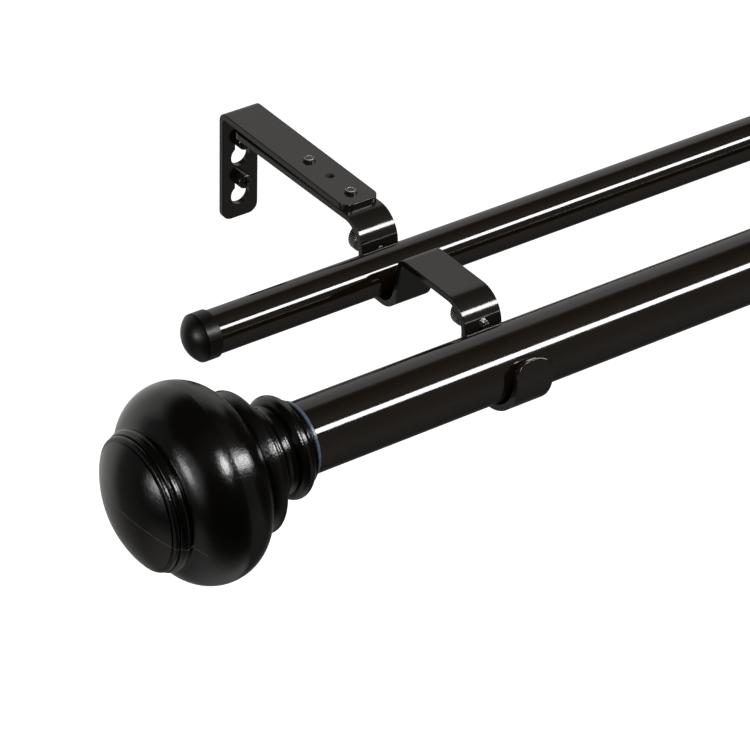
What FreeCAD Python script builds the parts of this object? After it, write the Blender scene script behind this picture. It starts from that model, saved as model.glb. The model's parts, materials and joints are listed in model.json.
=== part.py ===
import FreeCAD, Part
import Sketcher
import os
import math

# Double curtain pole set: a 25.4 mm front pole with turned finials and a 15.9 mm rear pole with
# domed end caps, both telescopic, carried by two brackets made of flat steel strip.
# Row frame: +X along the poles, +Y into the wall, +Z up. Origin: in the wall plane, midway between
# the two brackets and midway between the upper and lower wall screws. Millimetres.

os.makedirs("parts", exist_ok=True)
doc = FreeCAD.newDocument("double_curtain_pole")
V = FreeCAD.Vector

# ---------------------------------------------------------------- driving dimensions
sheet = doc.addObject("Spreadsheet::Sheet", "Sheet")
DIMS = [
    # where the poles run, seen from the wall plane and the screw mid height
    ("front_out", 165.5), ("front_up", 1.9), ("rear_out", 99.6), ("rear_up", 4.2),
    ("bracket_x", 264.0),
    # flat strip stock
    ("strip_wide", 15.6), ("strip_thick", 2.5),
    # wall bracket
    ("plate_top", 21.5), ("plate_low", -25.0), ("arm_reach", 80.3),
    ("ell_outer", 3.9), ("ell_inner", 1.4), ("plate_corner", 4.0), ("arm_corner", 3.8),
    ("key_big", 4.05), ("key_small", 2.35), ("key_pitch", 16.6), ("key_drop", 7.1), ("key_spare", -0.35),
    ("screw_near", 46.9), ("hole_mid", 59.9), ("screw_far", 72.9), ("open_hole", 1.65),
    ("rim_wide", 2.4), ("rim_high", 0.5), ("edge_round", 0.3),
    # support arm
    ("tail_out", 8.5), ("tail_top", 17.6), ("bend_big", 11.0), ("bend_small", 8.5),
    ("seat_top", 18.95), ("rear_hug", 8.0), ("rear_nose", 6.5), ("rear_flat", 4.0), ("rear_lean", 10.0),
    ("fold_outer", 4.5), ("fold_inner", 2.0), ("bridge_top", 18.1),
    ("front_hug", 13.5), ("front_lift", 0.58), ("front_shift", 0.5), ("tongue_deg", 150.5),
    ("tongue_round", 6.4),
    # screws
    ("join_shank", 1.95), ("join_head", 3.5), ("join_head_high", 2.4), ("join_proud", 1.25),
    ("wall_shank", 1.95), ("wall_neck", 1.65), ("wall_head", 2.9), ("wall_head_high", 4.0), ("wall_behind", 6.5),
    ("cross_wide", 0.9), ("cross_long", 3.6), ("cross_deep", 1.6),
    ("thumb_shank", 2.0), ("thumb_tip", 1.4), ("thumb_head", 5.6), ("thumb_head_long", 7.9),
    ("thumb_neck", 3.2), ("thumb_gap", 2.3), ("thumb_front_up", 9.4), ("thumb_rear_up", 7.4),
    ("front_tip_out", 154.35), ("rear_tip_out", 91.8),
    # poles
    ("front_rad", 12.7), ("front_wall", 0.8), ("front_half", 349.5),
    ("slim_rad", 11.1), ("slim_wall", 0.8), ("front_show", 100.0), ("slim_long", 700.0),
    ("rear_rad", 7.95), ("rear_wall", 0.7), ("rear_half", 345.9),
    ("thin_rad", 6.35), ("thin_wall", 0.7), ("rear_show", 100.0), ("thin_long", 691.8),
    ("lip_long", 2.5), ("run_gap", 0.05),
    # ends
    ("plug_rim", 13.7), ("plug_rim_long", 1.2), ("plug_long", 18.0), ("plug_slack", 0.05),
    ("stud_rad", 3.0), ("stud_in", 14.0), ("stud_out", 13.0), ("stud_slack", 0.3),
    ("droop_deg", 1.2), ("droop_gap", 0.33),
    ("cap_rad", 8.7), ("cap_skirt", 5.5), ("cap_dome", 4.5), ("cap_bore", 5.0),
]


class Q:
    """A number that also knows its spreadsheet expression."""

    def __init__(self, v, t=None):
        self.v = float(v)
        self.t = t if t is not None else repr(float(v))

    @staticmethod
    def of(o):
        return o if isinstance(o, Q) else Q(o)

    def _op(self, o, s, f):
        o = Q.of(o)
        return Q(f(self.v, o.v), "(%s %s %s)" % (self.t, s, o.t))

    def __add__(self, o): return self._op(o, "+", lambda a, b: a + b)
    def __radd__(self, o): return Q.of(o) + self
    def __sub__(self, o): return self._op(o, "-", lambda a, b: a - b)
    def __rsub__(self, o): return Q.of(o) - self
    def __mul__(self, o): return self._op(o, "*", lambda a, b: a * b)
    def __rmul__(self, o): return Q.of(o) * self
    def __truediv__(self, o): return self._op(o, "/", lambda a, b: a / b)
    def __neg__(self): return Q(0) - self


def qcos(a): return Q(math.cos(math.radians(a.v)), "cos(%s)" % a.t)
def qsin(a): return Q(math.sin(math.radians(a.v)), "sin(%s)" % a.t)
def qsqrt(a): return Q(math.sqrt(a.v), "sqrt(%s)" % a.t)


class Dims:
    pass


D = Dims()
for i, (name, value) in enumerate(DIMS, start=1):
    sheet.set("A%d" % i, name)
    sheet.set("B%d" % i, repr(value))
    sheet.setAlias("B%d" % i, name)
    setattr(D, name, Q(value, "Sheet." + name))
doc.recompute()

nodes = []          # (label, object) of every sub-part


def finish_body(obj, label, pos=(0, 0, 0), turn=None):
    """Gives a sub-part its label and its bound placement."""
    obj.Label = label
    rot = turn if turn is not None else FreeCAD.Rotation()
    obj.Placement = FreeCAD.Placement(V(*[Q.of(p).v for p in pos]), rot)
    for axis, p in zip("xyz", pos):
        if isinstance(p, Q):
            obj.setExpression("Placement.Base." + axis, p.t)
    nodes.append((label, obj))


def plane(body, role):
    return [f for f in body.Origin.OriginFeatures if f.Role == role][0]


def sketch_on(body, role, name, lift=None):
    sk = body.newObject("Sketcher::SketchObject", name)
    sk.AttachmentSupport = [(plane(body, role), "")]
    sk.MapMode = "FlatFace"
    if lift is not None:
        sk.AttachmentOffset = FreeCAD.Placement(V(0, 0, lift.v), FreeCAD.Rotation())
        sk.setExpression("AttachmentOffset.Base.z", lift.t)
    return sk


def outline(sk, pts, bends=None):
    """Closed outline through pts (pairs of Q). bends maps a side's index to (radius, turn):
    turn +1 is an arc that turns left along the outline, -1 one that turns right."""
    bends = bends or {}
    pts = [(Q.of(a), Q.of(b)) for a, b in pts]
    n = len(pts)
    ids = []
    for i in range(n):
        (ax, ay), (bx, by) = pts[i], pts[(i + 1) % n]
        if i in bends:
            rad, turn = Q.of(bends[i][0]), bends[i][1]
            mx, my = (ax.v + bx.v) / 2, (ay.v + by.v) / 2
            dx, dy = bx.v - ax.v, by.v - ay.v
            half = math.hypot(dx, dy) / 2
            rise = math.sqrt(max(rad.v ** 2 - half ** 2, 0.0))
            cx, cy = mx - turn * dy / (2 * half) * rise, my + turn * dx / (2 * half) * rise
            a0 = math.atan2(ay.v - cy, ax.v - cx)
            a1 = math.atan2(by.v - cy, bx.v - cx)
            circ = Part.Circle(V(cx, cy, 0), V(0, 0, 1), rad.v)
            if turn > 0:
                if a1 < a0:
                    a1 += 2 * math.pi
                arc = Part.ArcOfCircle(circ, a0, a1)
            else:
                if a0 < a1:
                    a0 += 2 * math.pi
                arc = Part.ArcOfCircle(circ, a1, a0)
            ids.append((sk.addGeometry(arc, False), 1 if turn > 0 else 2, 2 if turn > 0 else 1, rad))
        else:
            line = Part.LineSegment(V(ax.v, ay.v, 0), V(bx.v, by.v, 0))
            ids.append((sk.addGeometry(line, False), 1, 2, None))
    for i in range(n):
        a, b = ids[i], ids[(i + 1) % n]
        sk.addConstraint(Sketcher.Constraint("Coincident", a[0], a[2], b[0], b[1]))
    for i in range(n):
        g, start = ids[i][0], ids[i][1]
        for kind, q in (("DistanceX", pts[i][0]), ("DistanceY", pts[i][1])):
            if abs(q.v) < 1e-9:
                axis = -2 if kind == "DistanceX" else -1
                sk.addConstraint(Sketcher.Constraint("PointOnObject", g, start, axis))
            else:
                k = sk.addConstraint(Sketcher.Constraint(kind, -1, 1, g, start, q.v))
                if "Sheet." in q.t:
                    sk.setExpression("Constraints[%d]" % k, q.t)
        if ids[i][3] is not None:
            k = sk.addConstraint(Sketcher.Constraint("Radius", g, ids[i][3].v))
            if "Sheet." in ids[i][3].t:
                sk.setExpression("Constraints[%d]" % k, ids[i][3].t)


def circles(sk, items):
    """Round holes: items are (x, y, radius)."""
    for x, y, r in items:
        x, y, r = Q.of(x), Q.of(y), Q.of(r)
        g = sk.addGeometry(Part.Circle(V(x.v, y.v, 0), V(0, 0, 1), r.v), False)
        for kind, q, axis in (("DistanceX", x, -2), ("DistanceY", y, -1)):
            if abs(q.v) < 1e-9:
                sk.addConstraint(Sketcher.Constraint("PointOnObject", g, 3, axis))
            else:
                k = sk.addConstraint(Sketcher.Constraint(kind, -1, 1, g, 3, q.v))
                if "Sheet." in q.t:
                    sk.setExpression("Constraints[%d]" % k, q.t)
        k = sk.addConstraint(Sketcher.Constraint("Radius", g, r.v))
        if "Sheet." in r.t:
            sk.setExpression("Constraints[%d]" % k, r.t)


def pad(body, sk, length, both=False, name="Pad", flip=False):
    f = body.newObject("PartDesign::Pad", name)
    f.Profile = sk
    f.Length = length.v
    f.setExpression("Length", length.t)
    f.Midplane = both
    f.Reversed = flip
    sk.Visibility = False
    doc.recompute()
    return f


def pocket(body, sk, length, name="Pocket", flip=False, both=False, must=True):
    before = body.Shape.Volume
    f = body.newObject("PartDesign::Pocket", name)
    f.Profile = sk
    f.Length = length.v
    f.setExpression("Length", length.t)
    f.Midplane = both
    f.Reversed = flip
    doc.recompute()
    if must and body.Shape.Volume > before - 1e-3:
        raise RuntimeError("%s %s cuts nothing" % (body.Name, name))
    return f


def edges_where(shape, test):
    out = []
    for i, e in enumerate(shape.Edges, start=1):
        if test(e):
            out.append("Edge%d" % i)
    return out


def fillet(body, base, names, rad, name="Fillet"):
    f = body.newObject("PartDesign::Fillet", name)
    f.Base = (base, names)
    f.Radius = rad.v
    f.setExpression("Radius", rad.t)
    doc.recompute()
    return f


def eased_edges(body, name):
    """Rounds the long edges of the strip, which lie in its two side planes."""
    half = D.strip_wide.v / 2

    def in_side(e):
        c = e.BoundBox
        return c.XLength < 1e-3 and abs(abs(c.XMin) - half) < 1e-3

    shape = body.Tip.Shape
    return fillet(body, body.Tip, edges_where(shape, in_side), D.edge_round, name)


def turned(body, pts, bends=None, name="Turned"):
    """A turned solid about the body's X axis, from its half section (x along, y outward)."""
    sk = sketch_on(body, "XY_Plane", name + "_section")
    outline(sk, pts, bends)
    f = body.newObject("PartDesign::Revolution", name)
    f.Profile = sk
    f.ReferenceAxis = (sk, ["H_Axis"])
    f.Angle = 360.0
    doc.recompute()
    return f


# ---------------------------------------------------------------- wall bracket
def wall_bracket(label, side):
    b = doc.addObject("PartDesign::Body", label)
    t = D.strip_thick
    # an L of strip: plate against the wall, arm standing out into the room
    sk = sketch_on(b, "YZ_Plane", label + "_side")
    top, low = D.plate_top, D.plate_low
    outline(sk, [
        (Q(0), low), (Q(0), top - D.ell_outer), (-D.ell_outer, top), (-D.arm_reach, top),
        (-D.arm_reach, top - t), (-(t + D.ell_inner), top - t), (-t, top - t - D.ell_inner), (-t, low)],
        {1: (D.ell_outer, 1), 5: (D.ell_inner, -1)})
    p = pad(b, sk, D.strip_wide, both=True, name=label + "_strip")
    half = D.strip_wide.v / 2

    def plate_corner(e):
        c = e.BoundBox
        return (abs(abs(c.XMin) - half) < 1e-3 and c.XLength < 1e-3 and c.ZLength < 1e-3
                and abs(c.ZMin - low.v) < 1e-3)

    def arm_corner(e):
        c = e.BoundBox
        return (abs(abs(c.XMin) - half) < 1e-3 and c.XLength < 1e-3 and c.YLength < 1e-3
                and abs(c.YMin + D.arm_reach.v) < 1e-3 and abs(c.ZLength - t.v) < 1e-3)

    f1 = fillet(b, p, edges_where(p.Shape, plate_corner), D.plate_corner, label + "_foot")
    f2 = fillet(b, f1, edges_where(f1.Shape, arm_corner), D.arm_corner, label + "_nose")
    # two keyholes, one above the other: wide below, narrow above
    for n, up in ((1, -(D.key_pitch / 2)), (2, D.key_pitch / 2)):
        wide = up - D.key_drop
        sk = sketch_on(b, "XZ_Plane", "%s_wide%d" % (label, n))
        circles(sk, [(Q(0), wide, D.key_big)])
        pocket(b, sk, D.strip_thick * 4, name="%s_keywide%d" % (label, n), both=True)
        sk = sketch_on(b, "XZ_Plane", "%s_slot%d" % (label, n))
        r = D.key_small
        head = up + D.key_spare
        outline(sk, [(-r, wide), (r, wide), (r, head), (Q(0), head + r), (-r, head)],
                {2: (r, 1), 3: (r, 1)})
        pocket(b, sk, D.strip_thick * 4, name="%s_keyslot%d" % (label, n), both=True)
    # raised rims round the two joining screws, pressed up from the strip
    sk = sketch_on(b, "XY_Plane", label + "_rims", lift=top)
    circles(sk, [(Q(0), -D.screw_near, D.rim_wide), (Q(0), -D.screw_far, D.rim_wide)])
    pad(b, sk, D.rim_high, name=label + "_rim")
    # two screw holes and the spare hole between them
    sk = sketch_on(b, "XY_Plane", label + "_holes", lift=top)
    circles(sk, [(Q(0), -D.screw_near, D.join_shank + D.run_gap), (Q(0), -D.hole_mid, D.open_hole),
                 (Q(0), -D.screw_far, D.join_shank + D.run_gap)])
    pocket(b, sk, D.strip_thick * 4, name=label + "_drilled", both=True)
    eased_edges(b, label + "_eased")
    finish_body(b, label, (D.bracket_x * side, Q(0), Q(0)))


# ---------------------------------------------------------------- support arm
def support_arm(label, side):
    b = doc.addObject("PartDesign::Body", label)
    t = D.strip_thick
    yf, zf = -D.front_out - D.front_shift, D.front_up + D.front_lift       # front cup centre
    yr, zr = -D.rear_out, D.rear_up                        # rear pole centre
    hug, hugo = D.rear_hug, D.rear_hug + t                 # rear cup, wall side corner
    nose, noseo = D.rear_nose, D.rear_nose + t             # rear cup, room side corner
    fr, fro = D.front_hug, D.front_hug + t                 # front cup
    big, small = D.bend_big, D.bend_small
    tail = -D.tail_out
    leg1 = yr + hug                                        # room side face of the rear leg
    c1 = leg1 - big * -1                                   # centre of the rear bend, in y
    c1z = D.seat_top - big                                 # and in z
    floor_in = zr - hug                                    # inside floor of the rear cup
    ny = yr - D.rear_flat                                  # centre of the nose bend, in y
    nz = floor_in + nose
    cl, sl = qcos(D.rear_lean), qsin(D.rear_lean)          # the cup's room side wall leans out
    wy, wz = ny - nose * cl, nz - nose * sl                # its foot, inner face
    fz = D.bridge_top - D.fold_outer                       # centre of the tight fold, in z
    run = (fz - wz + D.fold_outer * sl) / cl               # straight length of the wall
    fy = wy - run * sl - D.fold_outer * cl                 # and in y
    leg2 = yf + fr                                         # room side face of the front leg
    c2 = leg2 + big                                        # centre of the front bend
    c2z = D.bridge_top - big
    ca, sa = qcos(D.tongue_deg), qsin(D.tongue_deg)
    pts = [
        (tail, D.tail_top),                    # 0 wall end, upper face
        (c1, D.seat_top),                      # 1 start of rear bend, bend follows
        (leg1, c1z),                           # 2
        (leg1, zr),                            # 3 start of the cup's wall side corner
        (yr, floor_in),                        # 4
        (ny, floor_in),                        # 5 start of the nose bend
        (wy, wz),                              # 6
        (fy + D.fold_outer * cl, fz + D.fold_outer * sl),   # 7 start of the tight fold
        (fy, D.bridge_top),                    # 8
        (c2, D.bridge_top),                    # 9 start of the front bend
        (leg2, c2z),                           # 10
        (leg2, zf),                            # 11 front cup, inside
        (yf, zf - fr),                         # 12
        (yf - fr, zf),                         # 13
        (yf + fr * ca, zf + fr * sa),          # 14 tongue end, inside
        (yf + fro * ca, zf + fro * sa),        # 15 tongue end, outside
        (yf - fro, zf),                        # 16
        (yf, zf - fro),                        # 17
        (leg2 + t, zf),                        # 18
        (leg2 + t, c2z),                       # 19
        (c2, D.bridge_top - t),                # 20
        (fy, D.bridge_top - t),                # 21
        (fy + D.fold_inner * cl, fz + D.fold_inner * sl),   # 22
        (ny - noseo * cl, nz - noseo * sl),    # 23
        (ny, floor_in - t),                    # 24
        (yr, floor_in - t),                    # 25
        (leg1 + t, zr),                        # 26
        (leg1 + t, c1z),                       # 27
        (c1, D.seat_top - t),                  # 28
        (tail, D.tail_top - t),                # 29
    ]
    bends = {1: (big, 1), 3: (hug, -1), 5: (nose, -1), 7: (D.fold_outer, 1), 9: (big, 1),
             11: (fr, -1), 12: (fr, -1), 13: (fr, -1),
             15: (fro, 1), 16: (fro, 1), 17: (fro, 1), 19: (small, -1),
             21: (D.fold_inner, -1), 23: (noseo, 1), 25: (hugo, 1), 27: (small, -1)}
    sk = sketch_on(b, "YZ_Plane", label + "_side")
    outline(sk, pts, bends)
    p = pad(b, sk, D.strip_wide, both=True, name=label + "_strip")
    half = D.strip_wide.v / 2

    # rounded end of the front tongue
    tip = V(0, yf.v + (fr.v + t.v / 2) * ca.v, zf.v + (fr.v + t.v / 2) * sa.v)

    def tongue_corner(e):
        c = e.BoundBox
        m = e.CenterOfMass
        return (abs(abs(c.XMin) - half) < 1e-3 and c.XLength < 1e-3 and abs(e.Length - t.v) < 1e-2
                and math.hypot(m.y - tip.y, m.z - tip.z) < 0.2)

    def tail_corner(e):
        c = e.BoundBox
        return (abs(abs(c.XMin) - half) < 1e-3 and c.XLength < 1e-3 and c.YLength < 1e-3
                and abs(c.YMin - tail.v) < 1e-3)

    names = edges_where(p.Shape, tongue_corner)
    if len(names) != 2:
        raise RuntimeError("tongue corners not found: %s" % names)
    f1 = fillet(b, p, names, D.tongue_round, label + "_tongue")
    f2 = fillet(b, f1, edges_where(f1.Shape, tail_corner), D.arm_corner, label + "_tail")
    # joining screw holes through the tail
    sk = sketch_on(b, "XY_Plane", label + "_joins", lift=D.seat_top)
    circles(sk, [(Q(0), -D.screw_near, D.join_shank + D.run_gap), (Q(0), -D.screw_far, D.join_shank + D.run_gap)])
    pocket(b, sk, D.strip_thick * 3, name=label + "_joined", both=True)
    # tapped holes for the thumb screws, through the two legs only
    for n, (face, up) in enumerate(((leg1, D.thumb_rear_up), (leg2, D.thumb_front_up)), start=1):
        sk = sketch_on(b, "XZ_Plane", "%s_tap%d" % (label, n), lift=-(face + t * 2))
        circles(sk, [(Q(0), up, D.thumb_shank + D.run_gap)])
        pocket(b, sk, t * 3, name="%s_tapped%d" % (label, n), flip=True)
    eased_edges(b, label + "_eased")
    finish_body(b, label, (D.bracket_x * side, Q(0), Q(0)))


# ---------------------------------------------------------------- fasteners
def joining_screws(label, side):
    """Two pan head screws up through arm and bracket: heads below, ends standing out above."""
    c = D.join_proud
    top = D.plate_top + c
    solids = []
    for n, out in ((1, D.screw_near), (2, D.screw_far)):
        # the strip's underside at this screw
        share = (out - D.tail_out) / (D.rear_out - D.rear_hug - D.bend_big - D.tail_out)
        under = D.tail_top + (D.seat_top - D.tail_top) * share - D.strip_thick - 0.1
        sh = doc.addObject("Part::Cylinder", "%s_shank%d" % (label, n))
        sh.setExpression("Radius", D.join_shank.t)
        sh.setExpression("Height", (top - under).t)
        sh.Placement = FreeCAD.Placement(V(0, -out.v, under.v), FreeCAD.Rotation())
        sh.setExpression("Placement.Base.y", (-out).t)
        sh.setExpression("Placement.Base.z", under.t)
        hd = doc.addObject("Part::Cylinder", "%s_head%d" % (label, n))
        hd.setExpression("Radius", D.join_head.t)
        hd.setExpression("Height", D.join_head_high.t)
        hd.Placement = FreeCAD.Placement(V(0, -out.v, under.v - D.join_head_high.v), FreeCAD.Rotation())
        hd.setExpression("Placement.Base.y", (-out).t)
        hd.setExpression("Placement.Base.z", (under - D.join_head_high).t)
        doc.recompute()
        cross = []
        for k, (lx, ly) in enumerate(((D.cross_long, D.cross_wide), (D.cross_wide, D.cross_long))):
            bx = doc.addObject("Part::Box", "%s_slot%d%d" % (label, n, k))
            bx.setExpression("Length", lx.t)
            bx.setExpression("Width", ly.t)
            bx.setExpression("Height", D.cross_deep.t)
            bx.setExpression("Placement.Base.x", (-(lx / 2)).t)
            bx.setExpression("Placement.Base.y", (-out - ly / 2).t)
            bx.setExpression("Placement.Base.z", (under - D.join_head_high - 0.2).t)
            cross.append(bx)
        one = doc.addObject("Part::MultiFuse", "%s_solid%d" % (label, n))
        one.Shapes = [sh, hd]
        one.Refine = True
        cr = doc.addObject("Part::MultiFuse", "%s_cross%d" % (label, n))
        cr.Shapes = cross
        cut = doc.addObject("Part::Cut", "%s_cut%d" % (label, n))
        cut.Base = one
        cut.Tool = cr
        doc.recompute()
        # rounded rim below and a chamfered end above
        rims = edges_where(cut.Shape, lambda e: isinstance(e.Curve, Part.Circle)
                           and abs(e.Curve.Radius - D.join_head.v) < 1e-4
                           and abs(e.CenterOfMass.z - (under - D.join_head_high).v) < 1e-3)
        fl = doc.addObject("Part::Fillet", "%s_round%d" % (label, n))
        fl.Base = cut
        fl.Edges = [(int(r[4:]), 0.9, 0.9) for r in rims]
        doc.recompute()
        ends = edges_where(fl.Shape, lambda e: isinstance(e.Curve, Part.Circle)
                           and abs(e.Curve.Radius - D.join_shank.v) < 1e-4
                           and abs(e.CenterOfMass.z - top.v) < 1e-3)
        ch = doc.addObject("Part::Chamfer", "%s_end%d" % (label, n))
        ch.Base = fl
        ch.Edges = [(int(r[4:]), 0.35, 0.35) for r in ends]
        doc.recompute()
        solids.append(ch)
    grp = doc.addObject("Part::Compound", label)
    grp.Links = solids
    finish_body(grp, label, (D.bracket_x * side, Q(0), Q(0)))


def wall_screws(label, side):
    """Two short pan head screws through the keyholes. The shanks stand out behind the plate."""
    t = D.strip_thick
    solids = []
    for n, up in ((1, -(D.key_pitch / 2)), (2, D.key_pitch / 2)):
        sh = doc.addObject("Part::Cylinder", "%s_shank%d" % (label, n))
        sh.setExpression("Radius", D.wall_shank.t)
        sh.setExpression("Height", D.wall_behind.t)
        sh.Placement = FreeCAD.Placement(V(0, 0, up.v), FreeCAD.Rotation(V(1, 0, 0), -90))
        sh.setExpression("Placement.Base.z", up.t)
        nk = doc.addObject("Part::Cylinder", "%s_neck%d" % (label, n))
        nk.setExpression("Radius", D.wall_neck.t)
        nk.setExpression("Height", (t + 0.1).t)
        nk.Placement = FreeCAD.Placement(V(0, -t.v, up.v), FreeCAD.Rotation(V(1, 0, 0), -90))
        nk.setExpression("Placement.Base.y", (-t).t)
        nk.setExpression("Placement.Base.z", up.t)
        hd = doc.addObject("Part::Cylinder", "%s_head%d" % (label, n))
        hd.setExpression("Radius", D.wall_head.t)
        hd.setExpression("Height", D.wall_head_high.t)
        hd.Placement = FreeCAD.Placement(V(0, -(t + D.wall_head_high).v, up.v), FreeCAD.Rotation(V(1, 0, 0), -90))
        hd.setExpression("Placement.Base.y", (-(t + D.wall_head_high)).t)
        hd.setExpression("Placement.Base.z", up.t)
        cross = []
        for k, (lx, lz) in enumerate(((D.cross_long, D.cross_wide), (D.cross_wide, D.cross_long))):
            bx = doc.addObject("Part::Box", "%s_slot%d%d" % (label, n, k))
            bx.setExpression("Length", lx.t)
            bx.setExpression("Width", D.cross_deep.t)
            bx.setExpression("Height", lz.t)
            bx.setExpression("Placement.Base.x", (-(lx / 2)).t)
            bx.setExpression("Placement.Base.y", (-(t + D.wall_head_high + 0.2)).t)
            bx.setExpression("Placement.Base.z", (up - lz / 2).t)
            cross.append(bx)
        one = doc.addObject("Part::MultiFuse", "%s_solid%d" % (label, n))
        one.Shapes = [sh, nk, hd]
        one.Refine = True
        cr = doc.addObject("Part::MultiFuse", "%s_cross%d" % (label, n))
        cr.Shapes = cross
        cut = doc.addObject("Part::Cut", "%s_cut%d" % (label, n))
        cut.Base = one
        cut.Tool = cr
        doc.recompute()
        front = -(t + D.wall_head_high)
        rims = edges_where(cut.Shape, lambda e: isinstance(e.Curve, Part.Circle)
                           and abs(e.Curve.Radius - D.wall_head.v) < 1e-4
                           and abs(e.CenterOfMass.y - front.v) < 1e-3)
        fl = doc.addObject("Part::Fillet", "%s_round%d" % (label, n))
        fl.Base = cut
        fl.Edges = [(int(r[4:]), 0.8, 0.8) for r in rims]
        doc.recompute()
        ends = edges_where(fl.Shape, lambda e: isinstance(e.Curve, Part.Circle)
                           and abs(e.Curve.Radius - D.wall_shank.v) < 1e-4
                           and abs(e.CenterOfMass.y - D.wall_behind.v) < 1e-3)
        ch = doc.addObject("Part::Chamfer", "%s_end%d" % (label, n))
        ch.Base = fl
        ch.Edges = [(int(r[4:]), 0.4, 0.4) for r in ends]
        doc.recompute()
        solids.append(ch)
    grp = doc.addObject("Part::Compound", label)
    grp.Links = solids
    finish_body(grp, label, (D.bracket_x * side, Q(0), Q(0)))


def thumb_screw(label, side, face, tip_out, up):
    """Turned screw with a knurled round head: head on the wall side of the leg, tip at the pole.
    Its own X axis runs from the tip towards the wall."""
    b = doc.addObject("PartDesign::Body", label)
    reach = tip_out + face + D.strip_thick            # tip to the leg's wall side face
    neck = reach + D.thumb_gap
    far = neck + D.thumb_head_long
    r = D.thumb_head
    turned(b, [
        (Q(0), Q(0)), (far, Q(0)), (far, r - 1.2), (far - 0.25, r - 0.4), (far - 0.7, r), (neck + 4.2, r),
        (neck, D.thumb_neck), (neck - 0.7, D.thumb_neck - 0.6), (neck - 0.7, D.thumb_shank),
        (Q(0.9), D.thumb_shank), (Q(0.35), D.thumb_tip), (Q(0), D.thumb_tip - 0.3)],
        name=label + "_turned")
    finish_body(b, label, (D.bracket_x * side, -tip_out, up), FreeCAD.Rotation(V(0, 0, 1), 90))


# ---------------------------------------------------------------- poles
def tube(label, rad, wall, length, x0, y, z, lip_rad=None):
    """A pole tube along X from x0. With lip_rad its right hand mouth is rolled in to that radius."""
    b = doc.addObject("PartDesign::Body", label)
    inner = rad - wall
    if lip_rad is None:
        turned(b, [(Q(0), inner), (length, inner), (length, rad), (Q(0), rad)], name=label + "_tube")
    else:
        k = length - D.lip_long
        turned(b, [(Q(0), inner), (k - 1.0, inner), (k, lip_rad), (length, lip_rad),
                   (length, rad - 0.5), (length - 0.5, rad), (Q(0), rad)],
               {4: (Q(0.5), 1)}, name=label + "_tube")
    finish_body(b, label, (x0, y, z))


# ---------------------------------------------------------------- finial and its fixing
def finial(label, x, y, z, turn):
    """Turned finial. Its own X axis runs from the pole end outward; x = 0 is its back face."""
    b = doc.addObject("PartDesign::Body", label)
    hole, deep = D.stud_rad + 0.03, D.stud_in + 0.5
    pts, bends = [], {}

    def go(px, pr, bend=None):
        if bend is not None:
            bends[len(pts) - 1] = bend
        pts.append((Q.of(px), Q.of(pr)))

    go(deep, 0)
    go(68.1, 0)                                   # apex of the domed face
    go(61.55, 21.75, (Q(39.5), 1))                # dome edge
    go(61.2, 21.5)                                # fine groove
    go(60.9, 22.4)
    go(59.2, 23.05, (Q(1.05), 1))                 # first bead
    go(58.85, 22.8)
    go(58.4, 23.85, (Q(0.62), 1))
    go(55.6, 24.15, (Q(2.4), 1))                  # second bead, broader
    go(54.9, 23.9)
    go(54.35, 24.9)                               # start of the ball
    go(39.6, 34.5, (Q(16.13), 1))
    go(24.85, 24.9, (Q(16.13), 1))
    go(24.3, 24.1)                                # groove behind the ball
    go(23.5, 24.75)
    go(20.0, 24.85, (Q(20.0), 1))                 # disc rim
    go(18.3, 23.1, (Q(1.9), 1))
    go(17.9, 21.6)
    go(16.3, 20.4, (Q(1.15), 1))                  # bead
    go(16.0, 19.2)
    go(14.3, 17.9, (Q(1.15), 1))                  # bead
    go(14.0, 16.7)
    go(10.9, 14.9, (Q(4.3), -1))                  # waist
    go(8.7, 15.5, (Q(2.6), -1))
    go(5.2, 18.05, (Q(3.1), 1))                    # collar roll
    go(2.0, 15.3, (Q(4.1), 1))
    go(1.5, 14.75)
    go(0.4, 14.85)
    go(0, 14.45)
    go(0, hole)
    go(deep, hole)
    # bends are given for the side that follows point i, so turn signs are for this direction
    turned(b, pts, bends, name=label + "_turned")
    finish_body(b, label, (x, y, z), turn)


def tube_plug(label, body_rad, x, y, z, turn):
    """Plug with a thin rim between finial and tube. x = 0 is the rim's outer face, -X is the tube."""
    b = doc.addObject("PartDesign::Body", label)
    r = body_rad - D.plug_slack
    rim = D.plug_rim_long
    bore = D.stud_rad + D.stud_slack
    turned(b, [(Q(0), bore), (Q(0), D.plug_rim - 0.25), (-Q(0.25), D.plug_rim), (-rim + 0.25, D.plug_rim),
               (-rim, D.plug_rim - 0.25), (-rim, r), (-D.plug_long + 1.0, r), (-D.plug_long, r - 0.8),
               (-D.plug_long, bore)], name=label + "_turned")
    finish_body(b, label, (x, y, z), turn)


def finial_stud(label, x, y, z, turn):
    b = doc.addObject("PartDesign::Body", label)
    r = D.stud_rad
    turned(b, [(-D.stud_out, Q(0)), (D.stud_in, Q(0)), (D.stud_in, r - 0.5), (D.stud_in - 0.5, r),
               (-D.stud_out + 0.5, r), (-D.stud_out, r - 0.5)], name=label + "_turned")
    finish_body(b, label, (x, y, z), turn)


def end_cap(label, bore_rad, x, y, z, turn):
    """Domed cap pushed over the pole end. x = 0 is the skirt's open end; the dome points along +X."""
    b = doc.addObject("PartDesign::Body", label)
    r, s, d = D.cap_rad, D.cap_skirt, D.cap_dome
    inner = bore_rad + 0.03
    # one arc from the shoulder to the apex: radius from its height and half width
    w, h = r - 0.1, d - 0.3
    dome = (w * w + h * h) / (h * 2)
    deep = D.cap_bore
    turned(b, [(Q(0), inner), (deep, inner), (deep, Q(0)), (s + d, Q(0)), (s + 0.3, w), (s, r - 0.4),
               (s - 0.15, r), (Q(0.15), r), (Q(0), r - 0.15)], {3: (dome, 1)}, name=label + "_turned")
    finish_body(b, label, (x, y, z), turn)


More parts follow.
